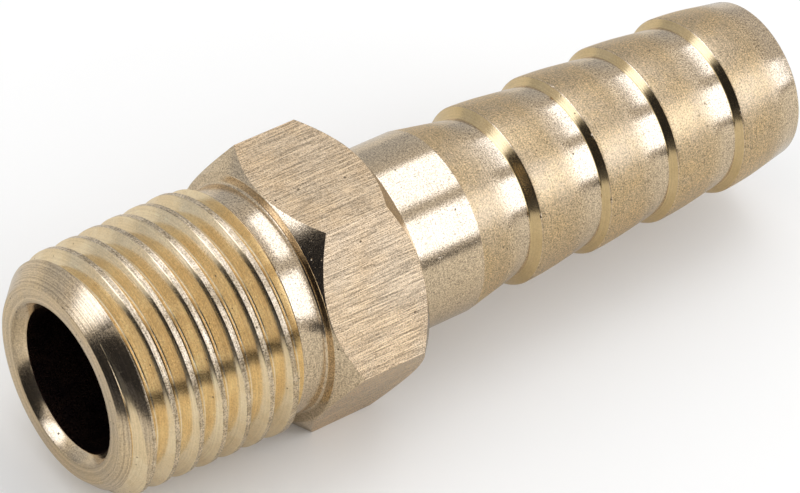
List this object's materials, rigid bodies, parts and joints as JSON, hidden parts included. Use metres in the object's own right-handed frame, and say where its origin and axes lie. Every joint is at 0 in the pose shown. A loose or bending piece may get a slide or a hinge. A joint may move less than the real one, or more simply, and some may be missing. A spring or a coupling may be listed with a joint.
{
  "type": "hose barb tail",
  "caption": "Brass hose tail: a taper pipe thread, a hexagon for the spanner and a barbed tail, with one bore right through.",
  "frame": {"origin": "centre of the thread's end face, on the axis", "axes": "+X along the axis towards the hose end, +Z out of the hexagon's upper flat; the part lies on the flat below"},
  "size_m": [0.0454, 0.0162, 0.014],
  "materials": {
    "brass": "turned, slightly dull"
  },
  "bodies": {
    "root": {"hose_tail": "brass"}
  },
  "joints": []
}
